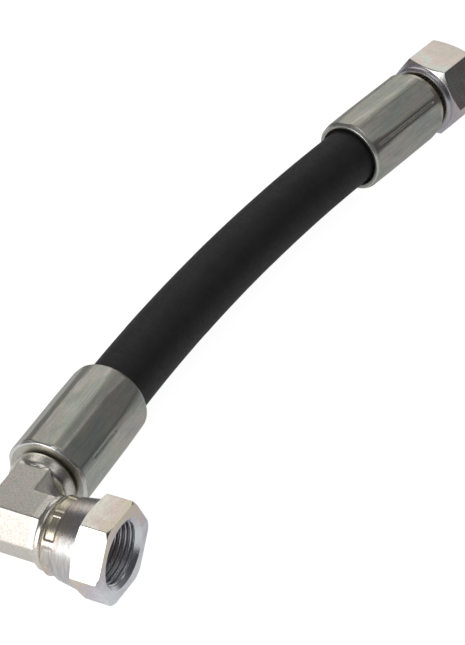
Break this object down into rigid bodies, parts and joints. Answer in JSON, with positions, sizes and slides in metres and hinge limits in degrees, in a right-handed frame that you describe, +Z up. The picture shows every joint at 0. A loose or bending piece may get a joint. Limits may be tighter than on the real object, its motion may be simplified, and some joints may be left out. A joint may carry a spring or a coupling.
{
  "type": "hydraulic hose assembly",
  "caption": "Short wire-braided hydraulic hose with crimped ferrules, a right-angle block elbow at one end, a straight fitting at the other, and swivel nuts.",
  "frame": {"origin": "on the elbow nut's axis, where its thread starts behind the countersunk mouth", "axes": "+X leaves the elbow nut along its axis, +Y runs from the elbow along its ferrule and the hose, +Z is up, square to the plane of the elbow and the bend"},
  "size_m": [0.065, 0.3204, 0.0314],
  "materials": {
    "cover_rubber": "matte",
    "inner_rubber": "matte",
    "seal_rubber": "satin",
    "braid_wire": "satin",
    "ferrule_zinc": "satin",
    "block_zinc": "satin",
    "nut_zinc": "satin",
    "turned_zinc": "satin",
    "braze": "satin"
  },
  "bodies": {
    "elbow_end": {"elbow_block": "block_zinc", "elbow_hose_tail": "turned_zinc", "elbow_tail_braze": "braze", "elbow_cone_stub": "turned_zinc", "elbow_stub_braze": "braze", "elbow_cone_seal": "seal_rubber", "elbow_ferrule": "ferrule_zinc", "hose_cover": "cover_rubber", "hose_outer_braid": "braid_wire", "hose_middle_rubber": "inner_rubber", "hose_inner_braid": "braid_wire", "hose_inner_tube": "inner_rubber"},
    "elbow_nut": {"elbow_swivel_nut": "nut_zinc"},
    "straight_end": {"straight_ferrule": "ferrule_zinc", "straight_insert": "turned_zinc", "straight_cone_seal": "seal_rubber"},
    "straight_nut": {"straight_swivel_nut": "nut_zinc"}
  },
  "joints": [
    {"name": "elbow_nut_spin", "type": "hinge", "parent": "elbow_end", "child": "elbow_nut", "pos_m": [-0.01, 0, 0], "axis": [1, 0, 0], "continuous": true},
    {"name": "hose_flex", "type": "hinge", "parent": "elbow_end", "child": "straight_end", "pos_m": [-0.03421, 0.14833, 0], "axis": [0, 0, -1], "range_deg": [-50.5, 25.3], "stiffness_Nm_per_rad": 17, "deforming": ["hose_cover", "hose_outer_braid", "hose_middle_rubber", "hose_inner_braid", "hose_inner_tube"]},
    {"name": "straight_nut_spin", "type": "hinge", "parent": "straight_end", "child": "straight_nut", "pos_m": [-0.00535, 0.29823, 0], "axis": [0.2181, 0.9759, 0], "continuous": true}
  ]
}
